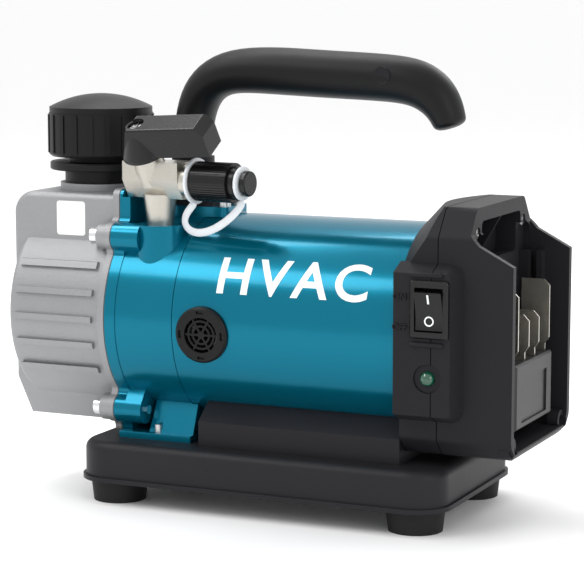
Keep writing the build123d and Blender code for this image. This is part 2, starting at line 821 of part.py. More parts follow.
grip_sections = [
    # centre x, centre z, direction of the section's height, half height, half width
    (-52.2, 180, (-1, 0), 9.3, 12.6),
    (-51.6, 197, (-1, 0.03), 9.8, 13),
    (-47.6, 212.5, (-19, 10), 10.7, 13.5),
    (-39.8, 221.4, (-13.5, 17.7), 11.1, 13.8),
    (-27.6, 226.2, (-4.7, 22.5), 11.6, 14),
    (-6, 226, (0, 1), 12.5, 14),
    (30, 224.4, (0, 1), 12.4, 14),
    (60, 223.7, (1, 24), 12.1, 14),
    (77, 222, (9, 23), 12.6, 13.6),
    (86.6, 215.8, (14, 19), 11.2, 12.6),
    (91, 208.4, (16, 11), 9.4, 11.4),
    (93, 202.6, (15, 6), 8.2, 10.4),
    (93.8, 197.4, (14, 3), 7.2, 9.4),
]
with BuildPart() as handle:
    for centre_x, centre_z, height_dir, half_height, half_width in grip_sections:
        across = Vector(height_dir[0], 0, height_dir[1])
        along = Vector(height_dir[1], 0, -height_dir[0])
        with BuildSketch(Plane(origin=(centre_x, 0, centre_z), x_dir=across, z_dir=along)):
            Ellipse(half_height, half_width)
    loft()
    with BuildSketch(Plane(origin=(-52.2, 0, 170))):
        Ellipse(7.4, 8.6)
    extrude(amount=24, mode=Mode.SUBTRACT)
handle.part.label = "handle"
export_step(handle.part, "parts/handle.step")

with BuildPart() as handle_post:
    with BuildSketch(Plane(origin=(-51, 0, block_top))):
        RectangleRounded(30, 25, 3)
    extrude(amount=5)
    with BuildSketch(Plane(origin=(-52.2, 0, block_top))):
        Ellipse(7.35, 8.55)
    extrude(amount=38)
    with BuildSketch(Plane(origin=(-52.2, 0, 176))):
        Ellipse(11, 13)
    extrude(amount=3.9)
    with BuildSketch(Plane(origin=(-52.2, 0, block_top))):
        Ellipse(9.5, 11)
    extrude(amount=22)
handle_post.part.label = "handle_post"
export_step(handle_post.part, "parts/handle_post.step")

screw_spots = [(-30.5, -8), (-30.5, 8)]
with BuildPart() as handle_seat_screws:
    with BuildSketch(Plane.XY.offset(block_top)):
        with Locations(*screw_spots):
            Circle(3)
            RegularPolygon(1.5, 6, mode=Mode.SUBTRACT)
    extrude(amount=2.6)
handle_seat_screws.part.label = "handle_seat_screws"
export_step(handle_seat_screws.part, "parts/handle_seat_screws.step")

# ---------------------------------------------------------------- rear cover and battery housing

screw_head_y = 35
screw_head_z = 150
screw_foot_y = 39.5
screw_foot_z = 45
panel_x1 = 119.5
panel_z0 = 56.5
panel_z1 = 136


bezel_height = 28.6
bezel_width = 20
rocker_height = 21
rocker_width = 14
rocker_pivot_y = -panel_half_width + 1.5
switch_off_tilt = 9
switch_plane = Plane(origin=(switch_x, -panel_half_width, switch_z), x_dir=(1, 0, 0), z_dir=(0, -1, 0))
lamp_plane = Plane(origin=(lamp_x, -panel_half_width, lamp_z), x_dir=(1, 0, 0), z_dir=(0, -1, 0))
switch_hole = Pos(switch_x, -panel_half_width, switch_z) * Box(bezel_width - 3, 24, bezel_height - 3)
lamp_hole = Pos(lamp_x, -panel_half_width, lamp_z) * Rot(90, 0, 0) * Cylinder(7.2, 20)


def housing_outline(inset=0.0):
    """Outline of the rear housing seen along the pump, moved inwards by inset."""
    with BuildSketch(mode=Mode.PRIVATE) as outline:
        with BuildLine():
            Polyline(
                (-housing_half_width, housing_bottom + 9),
                (-housing_half_width + 9, housing_bottom),
                (housing_half_width - 9, housing_bottom),
                (housing_half_width, housing_bottom + 9),
                (housing_half_width, 148),
                (36, head_top),
                (-36, head_top),
                (-housing_half_width, 148),
                close=True,
            )
        make_face()
        fillet(outline.vertices(), 5)
        if inset:
            offset(amount=-inset)
    return outline.sketch


def front_cone(inset=0.0):
    """Cone about the motor axis that runs from the tube's edge out to the housing's head."""
    with BuildSketch(Plane.XZ, mode=Mode.PRIVATE) as profile:
        with BuildLine():
            Polyline(
                (cover_x, axis_z),
                (cover_x, axis_z + tube_radius + 2 - inset),
                (parting_x, axis_z + 76 - inset),
                (parting_x, axis_z),
                close=True,
            )
        make_face()
    return revolve(profile.sketch, axis=Axis((0, 0, axis_z), (1, 0, 0)), mode=Mode.PRIVATE)


with BuildPart(mode=Mode.PRIVATE) as side_panels:
    with BuildSketch(Plane.XZ.offset(housing_half_width - 1)):
        with Locations(((cover_x - 20 + panel_x1) / 2, (panel_z0 + panel_z1) / 2)):
            RectangleRounded(panel_x1 - cover_x + 20, panel_z1 - panel_z0, 7)
    extrude(amount=panel_half_width - housing_half_width + 1, taper=24)
    split(bisect_by=Plane(origin=(cover_x, 0, 0), z_dir=(1, 0, 0)))
    mirror(about=Plane.XZ)

with BuildPart(mode=Mode.PRIVATE) as panel_hollows:
    with BuildSketch(Plane.XZ.offset(housing_half_width - housing_wall - 1)):
        with Locations(((cover_x - 20 + panel_x1) / 2, (panel_z0 + panel_z1) / 2)):
            RectangleRounded(panel_x1 - cover_x + 20 - 6, panel_z1 - panel_z0 - 6, 5)
    extrude(amount=panel_half_width - housing_half_width + 1, taper=24)
    split(bisect_by=Plane(origin=(cover_x + housing_wall, 0, 0), z_dir=(1, 0, 0)))
    mirror(about=Plane.XZ)

with BuildPart() as rear_cover:
    with BuildSketch(end_view(cover_x)):
        add(housing_outline())
    extrude(amount=parting_x - cover_x)
    with BuildSketch(end_view(cover_x)):
        Rectangle(200, 264)
    lower_zone = extrude(amount=parting_x - cover_x, mode=Mode.PRIVATE)
    add(front_cone() + lower_zone, mode=Mode.INTERSECT)
    add(side_panels.part)
    split(bisect_by=Plane(origin=(parting_x, 0, 0), z_dir=(1, 0, 0)), keep=Keep.BOTTOM)
    # hollow
    with BuildSketch(end_view(cover_x + housing_wall)):
        add(housing_outline(housing_wall))
    hollow = extrude(amount=parting_x - cover_x - housing_wall, mode=Mode.PRIVATE)
    add(hollow & (front_cone(3.6) + lower_zone), mode=Mode.SUBTRACT)
    add(panel_hollows.part, mode=Mode.SUBTRACT)
    # motor tube socket
    with BuildSketch(axis_plane(cover_x)):
        Circle(tube_radius + 0.1)
    extrude(amount=tube_end_x - cover_x + 0.3, mode=Mode.SUBTRACT)
    add(switch_hole, mode=Mode.SUBTRACT)
    add(lamp_hole, mode=Mode.SUBTRACT)
rear_cover.part.label = "rear_cover"
export_step(rear_cover.part, "parts/rear_cover.step")

rear_zone = Pos(parting_x + 50, 0, 100) * Box(100, 200, 200)
rear_panels = side_panels.part & rear_zone
rear_panel_hollows = panel_hollows.part & rear_zone

with BuildPart() as battery_housing:
    with BuildSketch(end_view(parting_x)):
        add(housing_outline())
    extrude(amount=end_x - parting_x)
    # side profile: upright head, guard walls sloping down to the end face, eased lower corner
    with BuildSketch(Plane.XZ.offset(-80)):
        with BuildLine():
            Polyline(
                (parting_x, housing_bottom - 1),
                (end_x - 4, housing_bottom - 1),
                (end_x, housing_bottom + 3.5),
                (end_x, 135.5),
                (126, 145),
                (121.5, 150),
                (121.5, head_top + 1),
                (parting_x, head_top + 1),
                close=True,
            )
        make_face()
    extrude(amount=160, mode=Mode.INTERSECT)
    add(rear_panels)
    # hollow behind the back plate
    with BuildSketch(end_view(parting_x)):
        add(housing_outline(housing_wall))
    extrude(amount=slot_x - 3 - parting_x, mode=Mode.SUBTRACT)
    add(rear_panel_hollows, mode=Mode.SUBTRACT)
    # battery slot, open at the end and at the top
    with BuildSketch(end_view(slot_x)):
        with Locations((0, 96)):
            RectangleRounded(2 * housing_half_width - 8, 106, 8)
    extrude(amount=end_x - slot_x, mode=Mode.SUBTRACT)
    with BuildSketch(end_view(122.6)):
        with Locations((0, 150)):
            Rectangle(2 * housing_half_width - 8, 40)
    extrude(amount=end_x - slot_x, mode=Mode.SUBTRACT)
    # guide rails for the battery
    with BuildSketch(end_view(slot_x - 0.5)):
        with Locations((-40, 92), (40, 92)):
            Rectangle(9, 84)
    extrude(amount=6)
    with BuildSketch(end_view(slot_x + 9)):
        with Locations((-41, 92), (41, 92)):
            Rectangle(7, 84)
    extrude(amount=3)
    add(switch_hole, mode=Mode.SUBTRACT)
    add(lamp_hole, mode=Mode.SUBTRACT)
    # latch pocket in the head with its stiffening rib
    with BuildSketch(end_view(parting_x + 1.5)):
        with Locations((0, 145)):
            Rectangle(65, 27)
    extrude(amount=slot_x - parting_x - 3)
    with BuildSketch(end_view(108)):
        with Locations((0, 145)):
            RectangleRounded(60, 21, 3)
    extrude(amount=20, mode=Mode.SUBTRACT)
    with BuildSketch(Plane.XZ.offset(-0.9)):
        with BuildLine():
            Polyline((108.5, 134), (108.5, 156), (121.5, 156), close=True)
        make_face()
    extrude(amount=1.8)
    # screw holes in the head and in the lower corners
    with BuildSketch(end_view(slot_x)):
        with Locations((-screw_head_y, screw_head_z), (screw_head_y, screw_head_z)):
            Circle(3)
    extrude(amount=4, mode=Mode.SUBTRACT)
    with BuildSketch(end_view(end_x - 8)):
        with Locations((-screw_foot_y, screw_foot_z), (screw_foot_y, screw_foot_z)):
            Circle(5.5)
    extrude(amount=6)
    with BuildSketch(end_view(end_x - 8.3)):
        with Locations((-screw_foot_y, screw_foot_z), (screw_foot_y, screw_foot_z)):
            Circle(3)
    extrude(amount=10, mode=Mode.SUBTRACT)
battery_housing.part.label = "battery_housing"
export_step(battery_housing.part, "parts/battery_housing.step")

# ---------------------------------------------------------------- switch and lamp

with BuildPart() as switch_housing:
    with BuildSketch(switch_plane):
        RectangleRounded(bezel_width, bezel_height, 1.4)
    extrude(amount=2)
    chamfer(switch_housing.faces().sort_by(Axis.Y)[0].edges(), 0.7)
    with BuildSketch(switch_plane.offset(-20)):
        Rectangle(bezel_width - 3.2, bezel_height - 3.2)
    extrude(amount=20)
    with BuildSketch(switch_plane.offset(-9)):
        Rectangle(rocker_width + 0.8, rocker_height + 0.8)
    extrude(amount=12, mode=Mode.SUBTRACT)
    with BuildSketch(switch_plane.offset(-26)):
        with Locations((0, -7), (0, 0), (0, 7)):
            Rectangle(4.8, 0.8)
    extrude(amount=6)
switch_housing.part.label = "switch_housing"
export_step(switch_housing.part, "parts/switch_housing.step")

rocker_pivot = Plane(origin=(switch_x, rocker_pivot_y, switch_z), x_dir=(0, 1, 0), z_dir=(1, 0, 0))
off_plane = rocker_pivot.rotated((switch_off_tilt, 0, 0))
with BuildPart() as switch_rocker:
    with BuildSketch(off_plane.offset(-rocker_width / 2)):
        with BuildLine():
            Polyline((4.5, 6.2), (4.5, -6.2), (-1.5, -9.6), (-4.2, -9.6))
            ThreePointArc((-4.2, -9.6), (-2.9, 0), (-4.2, 9.6))
            Polyline((-4.2, 9.6), (-1.5, 9.6), (4.5, 6.2))
        make_face()
    extrude(amount=rocker_width)
switch_rocker.part.label = "switch_rocker"
export_step(switch_rocker.part, "parts/switch_rocker.step")

with BuildPart() as lamp_bezel:
    with BuildSketch(lamp_plane.offset(-8)):
        Circle(7.1)
    extrude(amount=7)
    with BuildSketch(lamp_plane.offset(-8)):
        Circle(3.85)
    extrude(amount=8, mode=Mode.SUBTRACT)
lamp_bezel.part.label = "lamp_bezel"
export_step(lamp_bezel.part, "parts/lamp_bezel.step")

with BuildPart() as lamp_lens:
    with BuildSketch(Plane(origin=(lamp_x, -panel_half_width, lamp_z), x_dir=(1, 0, 0), z_dir=(0, 0, 1))):
        with BuildLine():
            Polyline((0, 7.5), (0, -2.6))
            ThreePointArc((0, -2.6), (2.69, -1.49), (3.8, 1.2))
            Polyline((3.8, 1.2), (3.8, 7.5), (0, 7.5))
        make_face()
    revolve(axis=Axis((lamp_x, 0, lamp_z), (0, 1, 0)))
lamp_lens.part.label = "lamp_lens"
export_step(lamp_lens.part, "parts/lamp_lens.step")

# ---------------------------------------------------------------- terminals, board and housing screws

block_x = 140
with BuildPart() as terminal_block:
    with BuildSketch(end_view(slot_x + 0.05)):
        with Locations((0, 67.5)):
            Rectangle(57, 33)
    extrude(amount=block_x - slot_x)
    chamfer(terminal_block.faces().sort_by(Axis.X)[-1].edges(), 1)
    with BuildSketch(end_view(block_x - 1)):
        with Locations((0, 65)):
            Rectangle(40, 22)
    extrude(amount=2, mode=Mode.SUBTRACT)
    with BuildSketch(Plane.XY.offset(76)):
        with Locations((131, -25), (131, -8), (131, 8), (131, 25)):
            Rectangle(13.4, 1.6)
    extrude(amount=10, mode=Mode.SUBTRACT)
terminal_block.part.label = "terminal_block"
export_step(terminal_block.part, "parts/terminal_block.step")

blade_tops = [(-25, 121), (-8, 107), (8, 107), (25, 121)]
with BuildPart() as battery_terminals:
    for blade_y, blade_top in blade_tops:
        with BuildSketch(Plane.XZ.offset(-blade_y - 0.5)):
            with BuildLine():
                Polyline(
                    (124.5, 76.2),
                    (137.4, 76.2),
                    (137.4, 88),
                    (139.5, 91),
                    (139.5, blade_top - 3),
                    (136.5, blade_top),
                    (124.5, blade_top),
                    close=True,
                )
            make_face()
        extrude(amount=1)
battery_terminals.part.label = "battery_terminals"
export_step(battery_terminals.part, "parts/battery_terminals.step")

board_x = 109.5
with BuildPart() as controller_board:
    with BuildSketch(end_view(board_x)):
        with Locations((4, 90)):
            Rectangle(76, 80)
        with Locations((-30, 53), (38, 53), (-30, 127), (38, 127)):
            Circle(1.6, mode=Mode.SUBTRACT)
    extrude(amount=1.6)
controller_board.part.label = "controller_board"
export_step(controller_board.part, "parts/controller_board.step")

with BuildPart() as board_components:
    with BuildSketch(end_view(board_x)):
        with Locations((-20, 70), (4, 70), (28, 70)):
            Rectangle(14, 10)
        with Locations((-20, 112), (10, 112)):
            Rectangle(12, 12)
    extrude(amount=-3)
    with BuildSketch(end_view(board_x)):
        with Locations((28, 114), (28, 96)):
            Circle(6)
    extrude(amount=-8)
board_components.part.label = "board_components"
export_step(board_components.part, "parts/board_components.step")

with BuildPart() as housing_screws:
    with BuildSketch(end_view(slot_x)):
        with Locations((-screw_head_y, screw_head_z), (screw_head_y, screw_head_z)):
            Circle(2.9)
    extrude(amount=1.6)
    with BuildSketch(end_view(end_x - 8.2)):
        with Locations((-screw_foot_y, screw_foot_z), (screw_foot_y, screw_foot_z)):
            Circle(2.9)
    extrude(amount=3)
housing_screws.part.label = "housing_screws"
export_step(housing_screws.part, "parts/housing_screws.step")

# ---------------------------------------------------------------- inlet valve

body_s1 = 17
spigot_end = 38
flare_thread_radius = 5.5
ball_radius = 6.5
stem_radius = 3
neck_top_v = 15.6

ball_solid = Sphere(ball_radius)
ball_blank = Sphere(ball_radius + running_gap)

with BuildPart() as inlet_fitting:
    # valve body: upright sides, roof sloping at the lean of the stem
    with BuildSketch(flare_plane(body_s0)):
        with BuildLine():
            Polyline(
                (9.3, -9.5),
                (9.3, 0.5),
                (4, 9.7),
                (-4, 9.7),
                (-9.3, 0.5),
                (-9.3, -9.5),
                close=True,
            )
        make_face()
    extrude(amount=body_s1 - body_s0)
    chamfer(inlet_fitting.faces().sort_by(Axis((0, 0, 0), flare_dir))[0].edges(), 1.2)
    # inlet leg
    with BuildSketch(leg_plane(boss_top - 9)):
        Circle(6.15)
    with BuildSketch(leg_plane(boss_top)):
        Circle(6.15)
    loft()
    with BuildSketch(leg_plane(boss_top)):
        Circle(6.8)
    with BuildSketch(leg_plane(fitting_z - 8)):
        Circle(9)
    loft()
    # stem neck
    with BuildSketch(stem_plane(0)):
        Circle(9)
    with BuildSketch(stem_plane(neck_top_v)):
        Circle(7.6)
    loft()
    # flare port
    with BuildSketch(flare_plane(body_s1)):
        Circle(8.8)
    extrude(amount=4.4)
    with BuildSketch(flare_plane(body_s1)):
        Circle(flare_thread_radius)
    extrude(amount=spigot_end - body_s1)
    chamfer(inlet_fitting.faces().sort_by(Axis((0, 0, 0), flare_dir))[-1].edges(), 1.6)
    # ball chamber, stem bore and passages
    with BuildSketch(stem_plane(0)):
        Circle(stem_radius + running_gap)
    extrude(amount=30, mode=Mode.SUBTRACT)
    with BuildSketch(flare_plane(ball_s)):
        Circle(3)
    extrude(amount=spigot_end - ball_s + 1, mode=Mode.SUBTRACT)
    with BuildSketch(leg_plane(boss_top - 10)):
        Circle(3.5)
    extrude(amount=fitting_z - boss_top + 10, mode=Mode.SUBTRACT)
    add(Pos(ball_centre) * ball_blank, mode=Mode.SUBTRACT)
inlet_fitting.part.label = "inlet_fitting"
export_step(inlet_fitting.part, "parts/inlet_fitting.step")

with BuildPart() as valve_ball:
    add(Pos(ball_centre) * ball_solid)
    with BuildSketch(flare_plane(ball_s)):
        Circle(3)
    extrude(amount=20, mode=Mode.SUBTRACT)
    with BuildSketch(Plane(origin=ball_centre - Vector(0, 0, 12))):
        Circle(3)
    extrude(amount=12, mode=Mode.SUBTRACT)
    with BuildSketch(stem_plane(4)):
        Circle(stem_radius)
    extrude(amount=6, mode=Mode.SUBTRACT)
valve_ball.part.label = "valve_ball"
export_step(valve_ball.part, "parts/valve_ball.step")

seal_v = 9.5
with BuildPart() as valve_stem:
    with BuildSketch(stem_plane(4)):
        Circle(stem_radius)
    extrude(amount=26)
    with BuildSketch(stem_plane(seal_v)):
        Circle(stem_radius)
        Circle(2.2, mode=Mode.SUBTRACT)
    extrude(amount=1.6, mode=Mode.SUBTRACT)
valve_stem.part.label = "valve_stem"
export_step(valve_stem.part, "parts/valve_stem.step")

with BuildPart() as stem_seal:
    with BuildSketch(stem_plane(seal_v)):
        Circle(stem_radius)
        Circle(2.2, mode=Mode.SUBTRACT)
    extrude(amount=1.6)
stem_seal.part.label = "stem_seal"
export_step(stem_seal.part, "parts/stem_seal.step")

lever_skew = 6
lever_bottom_v = 17.3
lever_top_v = 34.4
lever_front_w = 7
lever_back_w = -8
hub_bottom_v = 16.2
lever_dir = flare_dir.rotate(Axis((0, 0, 0), stem_dir), lever_skew)
lever_base = Plane(origin=ball_centre, x_dir=lever_dir, z_dir=stem_dir)
# outline plane of the lever's front: local x along the lever, local y up the stem
lever_side = Plane(origin=lever_base.origin, x_dir=lever_base.x_dir, z_dir=lever_base.y_dir * -1)
with BuildPart() as valve_lever:
    with BuildSketch(lever_side.offset(lever_back_w)):
        with BuildLine():
            Polyline(
                (-8.2, lever_bottom_v),
                (-8.2, lever_bottom_v + 3),
                (-3, lever_top_v),
                (37, lever_top_v),
                (41, lever_top_v - 5),
                (41.4, lever_bottom_v),
                close=True,
            )
        make_face()
    extrude(amount=lever_front_w - lever_back_w)
    fillet(valve_lever.edges().group_by(Axis(ball_centre, stem_dir))[-1], 1.2)
    with BuildSketch(lever_base.offset(hub_bottom_v)):
        Circle(12)
    with BuildSketch(lever_base.offset(hub_bottom_v + 1.6)):
        Circle(12)
    loft()
    with BuildSketch(lever_base.offset(hub_bottom_v + 1.6)):
        Circle(12)
    with BuildSketch(lever_base.offset(lever_top_v - 1)):
        Circle(5.6)
    loft()
    with BuildSketch(lever_base.offset(lever_top_v - 5)):
        Circle(4.6)
    extrude(amount=8, mode=Mode.SUBTRACT)
    with BuildSketch(lever_base.offset(hub_bottom_v - 1)):
        Circle(stem_radius + 0.02)
    extrude(amount=31 - hub_bottom_v, mode=Mode.SUBTRACT)
valve_lever.part.label = "valve_lever"
export_step(valve_lever.part, "parts/valve_lever.step")

with BuildPart() as lever_screw:
    with BuildSketch(stem_plane(30.05)):
        Circle(4)
    extrude(amount=2)
    with BuildSketch(stem_plane(31.2)):
        Rectangle(8, 0.9)
        Rectangle(0.9, 8)
    extrude(amount=1, mode=Mode.SUBTRACT)
lever_screw.part.label = "lever_screw"
export_step(lever_screw.part, "parts/lever_screw.step")

# ---------------------------------------------------------------- flare cap and its strap

ring_s = 22.1
ring_thickness = 1.6
cap_s0 = 24.3
knurl_s1 = 46.5
shoulder_s1 = 50
neck_s1 = 53.2
knob_s1 = 56
knurl_count = 48
cap_bore_end = 42
with BuildPart() as flare_cap:
    with BuildSketch(flare_plane(cap_s0)):
        Circle(10)
        with PolarLocations(10, knurl_count):
            Rectangle(0.7, 0.6)
    extrude(amount=knurl_s1 - cap_s0)
    with BuildSketch(flare_plane(knurl_s1)):
        Circle(8.6)
    extrude(amount=shoulder_s1 - knurl_s1)
    with BuildSketch(flare_plane(shoulder_s1)):
        Circle(4.4)
    extrude(amount=neck_s1 - shoulder_s1)
    with BuildSketch(flare_plane(neck_s1)):
        Circle(6.6)
    extrude(amount=knob_s1 - neck_s1)
    fillet(flare_cap.faces().sort_by(Axis((0, 0, 0), flare_dir))[-1].edges(), 0.8)
    with BuildSketch(flare_plane(cap_s0)):
        Circle(flare_thread_radius + 0.1)
    extrude(amount=cap_bore_end - cap_s0, mode=Mode.SUBTRACT)
flare_cap.part.label = "flare_cap"
export_step(flare_cap.part, "parts/flare_cap.step")

with BuildPart() as flare_cap_seal:
    with BuildSketch(flare_plane(spigot_end + 0.4)):
        Circle(flare_thread_radius - 0.1)
    extrude(amount=1.6)
flare_cap_seal.part.label = "flare_cap_seal"
export_step(flare_cap_seal.part, "parts/flare_cap_seal.step")

strap_path = [(22.9, -11.6), (19.2, -20), (23, -27.2), (34, -24.6), (47.1, -16.4), (53.2, -8.3)]
strap_width = 4.2
strap_plane = Plane(origin=fitting_origin, x_dir=flare_dir, z_dir=front_dir)
with BuildPart() as cap_strap:
    with BuildSketch(flare_plane(ring_s)):
        Circle(12)
        Circle(flare_thread_radius + 4.2, mode=Mode.SUBTRACT)
    extrude(amount=ring_thickness)
    with BuildSketch(flare_plane(shoulder_s1 + 0.5)):
        Circle(8.8)
        Circle(4.8, mode=Mode.SUBTRACT)
    extrude(amount=ring_thickness)
    with BuildSketch(strap_plane.offset(-0.8)):
        with BuildLine() as strap_line:
            FilletPolyline(*strap_path, radius=4)
        trace(strap_line.line, line_width=strap_width)
    extrude(amount=1.6)
cap_strap.part.label = "cap_strap"
export_step(cap_strap.part, "parts/cap_strap.step")
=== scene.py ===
import json
from math import cos, pi, radians, sin

import bmesh
import bpy
from mathutils import Matrix, Vector
from mathutils.bvhtree import BVHTree


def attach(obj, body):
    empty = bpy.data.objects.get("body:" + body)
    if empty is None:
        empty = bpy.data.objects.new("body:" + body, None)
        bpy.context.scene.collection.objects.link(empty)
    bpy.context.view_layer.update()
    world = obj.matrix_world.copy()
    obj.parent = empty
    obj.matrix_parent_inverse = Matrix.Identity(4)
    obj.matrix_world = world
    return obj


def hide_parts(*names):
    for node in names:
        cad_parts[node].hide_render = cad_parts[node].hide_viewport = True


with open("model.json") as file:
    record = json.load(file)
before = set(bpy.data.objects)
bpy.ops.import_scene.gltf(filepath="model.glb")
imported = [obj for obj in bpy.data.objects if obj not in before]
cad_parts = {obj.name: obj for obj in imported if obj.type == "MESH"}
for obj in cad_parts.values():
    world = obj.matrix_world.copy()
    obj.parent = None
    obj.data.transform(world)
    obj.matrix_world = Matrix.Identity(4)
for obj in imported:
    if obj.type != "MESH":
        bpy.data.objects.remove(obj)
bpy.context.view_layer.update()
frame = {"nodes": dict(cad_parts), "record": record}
mm = 0.001
axisZ = 96.6                # height of the motor's centre line, in millimetres
portRoot = (-56, -31.1)     # where the inlet leg stands, seen from above
portYaw = 7                 # the flare port swings this far towards the switch side, in degrees
print("frame loaded")


def plug(tree, socket, value):
    if isinstance(value, Wire):
        tree.links.new(value.socket, socket)
    else:
        socket.default_value = value


class Wire:
    def __init__(self, tree, socket):
        self.tree = tree
        self.socket = socket

    def maths(self, operation, first, second=0.0):
        node = self.tree.nodes.new("ShaderNodeMath")
        node.operation = operation
        plug(self.tree, node.inputs[0], first)
        plug(self.tree, node.inputs[1], second)
        return Wire(self.tree, node.outputs[0])

    def __add__(self, other):
        return self.maths("ADD", self, other)

    def __sub__(self, other):
        return self.maths("SUBTRACT", self, other)

    def __mul__(self, other):
        return self.maths("MULTIPLY", self, other)

    def wave(self):
        return self.maths("SINE", self)


class Finish:
    def __init__(self, name):
        self.material = bpy.data.materials.new(name)
        self.material.use_nodes = True
        self.tree = self.material.node_tree
        self.shader = self.tree.nodes["Principled BSDF"]
        self.place = self.node("ShaderNodeTexCoord", out="Object")

    def node(self, kind, settings=None, sockets=None, out=0):
        node = self.tree.nodes.new(kind)
        for key, value in (settings or {}).items():
            setattr(node, key, value)
        for key, value in (sockets or {}).items():
            plug(self.tree, node.inputs[key], value)
        return Wire(self.tree, node.outputs[out])

    def noise(self, scale, detail=3.0, rough=0.55, place=None):
        sockets = {"Vector": place or self.place, "Scale": scale, "Detail": detail, "Roughness": rough}
        return self.node("ShaderNodeTexNoise", None, sockets)

    def cells(self, scale):
        sockets = {"Vector": self.place, "Scale": scale}
        return self.node("ShaderNodeTexVoronoi", {"feature": "F1"}, sockets, "Distance")

    def stretched(self, amounts):
        return self.node("ShaderNodeVectorMath", {"operation": "MULTIPLY"}, {0: self.place, 1: amounts})

    def mix(self, factor, first, second):
        return self.node("ShaderNodeMix", {"data_type": "RGBA"}, {0: factor, 6: first, 7: second}, 2)

    def give(self, **values):
        for key, value in values.items():
            plug(self.tree, self.shader.inputs[key.replace("_", " ")], value)

    def bump(self, height, strength, depth):
        sockets = {"Strength": strength, "Distance": depth, "Height": height}
        self.give(Normal=self.node("ShaderNodeBump", None, sockets))


def shade(colour, amount):
    return (*[min(1.0, part * amount) for part in colour], 1.0)


# colour is linear, grain is about the number of features per metre, depth is the relief in millimetres,
# and swing is how far the tone varies
finishSettings = {
    "pan_plastic": dict(
        colour=(0.0185, 0.0180, 0.0205), rough=0.42, grain=1500, depth=0.05,
        shine=0.14, pattern="cells",
    ),
    "foot_rubber": dict(colour=(0.009, 0.009, 0.0095), rough=0.62, grain=1200, depth=0.04, shine=0.25),
    "zinc_steel": dict(colour=(0.62, 0.62, 0.63), rough=0.30, grain=1800, depth=0.02, metal=1.0),
    "bolt_chrome": dict(colour=(0.78, 0.79, 0.80), rough=0.16, grain=1500, depth=0.01, metal=1.0),
    "riser_paint": dict(colour=(0.0165, 0.0162, 0.0190), rough=0.40, grain=900, depth=0.05, shine=0.14),
    "teal_paint": dict(
        colour=(0.0, 0.150, 0.232), rough=0.21, grain=2600, depth=0.002,
        metal=0.60, coat=0.18, shine=0.12, swing=0.03,
    ),
    "black_plastic": dict(
        colour=(0.0150, 0.0146, 0.0168), rough=0.46, grain=1900, depth=0.05,
        shine=0.12, pattern="cells",
    ),
    "grip_plastic": dict(
        colour=(0.0042, 0.0042, 0.0048), rough=0.45, grain=2200, depth=0.035,
        shine=0.22, pattern="cells",
    ),
    "cap_plastic": dict(
        colour=(0.0045, 0.0045, 0.0050), rough=0.44, grain=1700, depth=0.05,
        shine=0.22, pattern="cells",
    ),
    "cast_aluminium": dict(
        colour=(0.300, 0.303, 0.311), rough=0.48, grain=1100, depth=0.24,
        metal=0.55, swing=0.16,
    ),
    "gasket_fibre": dict(colour=(0.06, 0.06, 0.06), rough=0.85, grain=900, depth=0.05),
    "clear_glass": dict(
        colour=(0.72, 0.62, 0.30), rough=0.06, grain=80, depth=0.002,
        coat=1.0, swing=0.12,
    ),
    "plain_brass": dict(
        colour=(0.66, 0.47, 0.19), rough=0.28, grain=900, depth=0.01,
        metal=1.0, pattern="brushed",
    ),
    "nickel_brass": dict(
        colour=(0.50, 0.478, 0.43), rough=0.32, grain=850, depth=0.15,
        metal=1.0, swing=0.12,
    ),
    "switch_plastic": dict(
        colour=(0.0040, 0.0040, 0.0046), rough=0.26, grain=2200, depth=0.012,
        coat=0.0, shine=0.34,
    ),
    "lamp_green": dict(colour=(0.0, 0.065, 0.032), rough=0.10, grain=700, depth=0.03, coat=1.0),
    "terminal_metal": dict(
        colour=(0.62, 0.60, 0.54), rough=0.30, grain=700, depth=0.01,
        metal=1.0, pattern="brushed",
    ),
    "board_laminate": dict(colour=(0.008, 0.10, 0.04), rough=0.35, grain=350, depth=0.04, coat=0.5),
    "component_plastic": dict(colour=(0.014, 0.014, 0.015), rough=0.48, grain=1500, depth=0.03),
    "copper_wire": dict(
        colour=(0.62, 0.25, 0.10), rough=0.30, grain=1100, depth=0.30,
        metal=1.0, pattern="layers",
    ),
    "lamination_steel": dict(
        colour=(0.33, 0.33, 0.35), rough=0.42, grain=2000, depth=0.12,
        metal=1.0, pattern="layers",
    ),
    "magnet_plating": dict(colour=(0.50, 0.50, 0.52), rough=0.25, grain=900, depth=0.01, metal=1.0),
    "bearing_steel": dict(
        colour=(0.62, 0.62, 0.64), rough=0.20, grain=1000, depth=0.01,
        metal=1.0, pattern="brushed",
    ),
    "pump_iron": dict(colour=(0.26, 0.26, 0.27), rough=0.46, grain=900, depth=0.06, metal=0.9),
    "vane_resin": dict(colour=(0.07, 0.045, 0.025), rough=0.55, grain=900, depth=0.03),
    "filter_felt": dict(colour=(0.66, 0.66, 0.60), rough=0.95, grain=1600, depth=0.25),
    "strap_plastic": dict(
        colour=(0.72, 0.75, 0.78), rough=0.34, grain=500, depth=0.02,
        coat=0.3, glow=0.25,
    ),
    "seal_rubber": dict(colour=(0.015, 0.015, 0.015), rough=0.55, grain=1100, depth=0.02),
    "groove_black": dict(colour=(0.0012, 0.0012, 0.0012), rough=0.8, grain=900, depth=0.01, shine=0.05),
    "sticker_white": dict(
        colour=(0.86, 0.86, 0.85), rough=0.34, grain=900, depth=0.003,
        coat=0.3, swing=0.02,
    ),
    "letter_white": dict(
        colour=(0.88, 0.89, 0.90), rough=0.30, grain=900, depth=0.003,
        coat=0.4, swing=0.02,
    ),
}


wear = dict(cloudScale=26.0, cloudRough=0.10, fineRough=0.12, coatRough=0.08, glowReach=0.004, relief=0.6)


